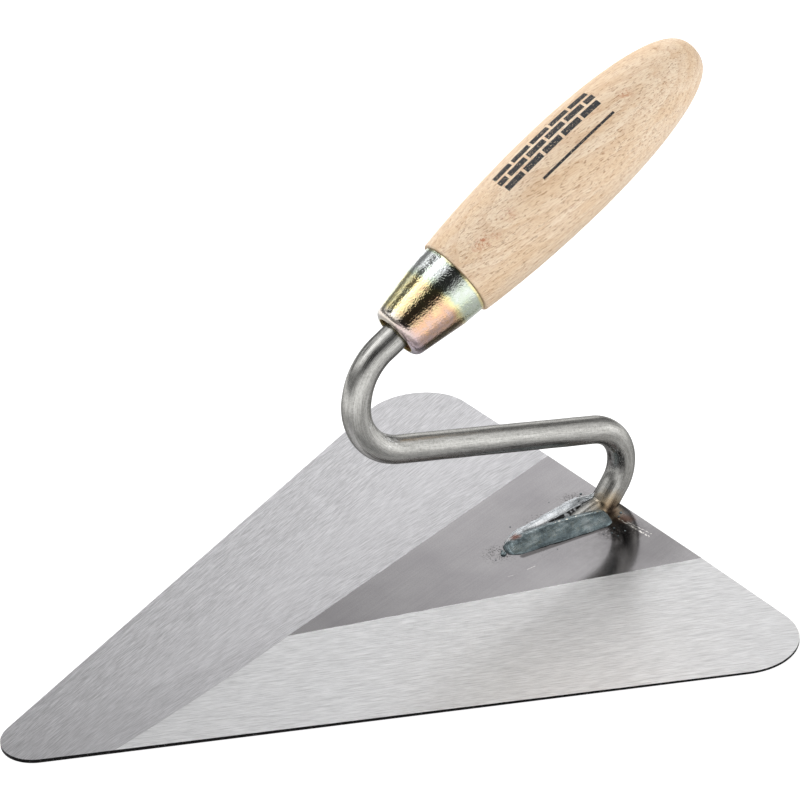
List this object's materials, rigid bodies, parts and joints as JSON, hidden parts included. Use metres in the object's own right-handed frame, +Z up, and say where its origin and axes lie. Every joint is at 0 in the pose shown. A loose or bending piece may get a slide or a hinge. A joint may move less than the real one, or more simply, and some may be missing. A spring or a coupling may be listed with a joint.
{
  "type": "bricklayer's trowel",
  "caption": "Triangular bricklayer's trowel: flat steel blade with rounded corners, welded round-bar swan neck, plated ferrule and turned beech handle.",
  "frame": {"origin": "centre of the blade's underside, halfway along the blade's centre line", "axes": "+Z up out of the blade towards the handle, -Y towards the tip, +Y towards the rear edge and the end of the handle, +X to the right with the tip towards the viewer"},
  "size_m": [0.212, 0.2589, 0.1525],
  "materials": {
    "blade_steel": "finely brushed on both ground bands, darker semi-gloss rolled steel on the unground panel",
    "neck_steel": "dull bright-drawn bar with lengthwise streaks",
    "weld_metal": "grey-green oxide skin over rippled weld metal",
    "plated_sheet": "zinc plate with yellow iridescent passivation",
    "beech": "pale turned beech, sanded and thinly lacquered"
  },
  "bodies": {
    "root": {"blade": "blade_steel", "neck": "neck_steel", "weld_bead_left": "weld_metal", "weld_bead_right": "weld_metal", "ferrule": "plated_sheet", "handle": "beech"}
  },
  "joints": []
}
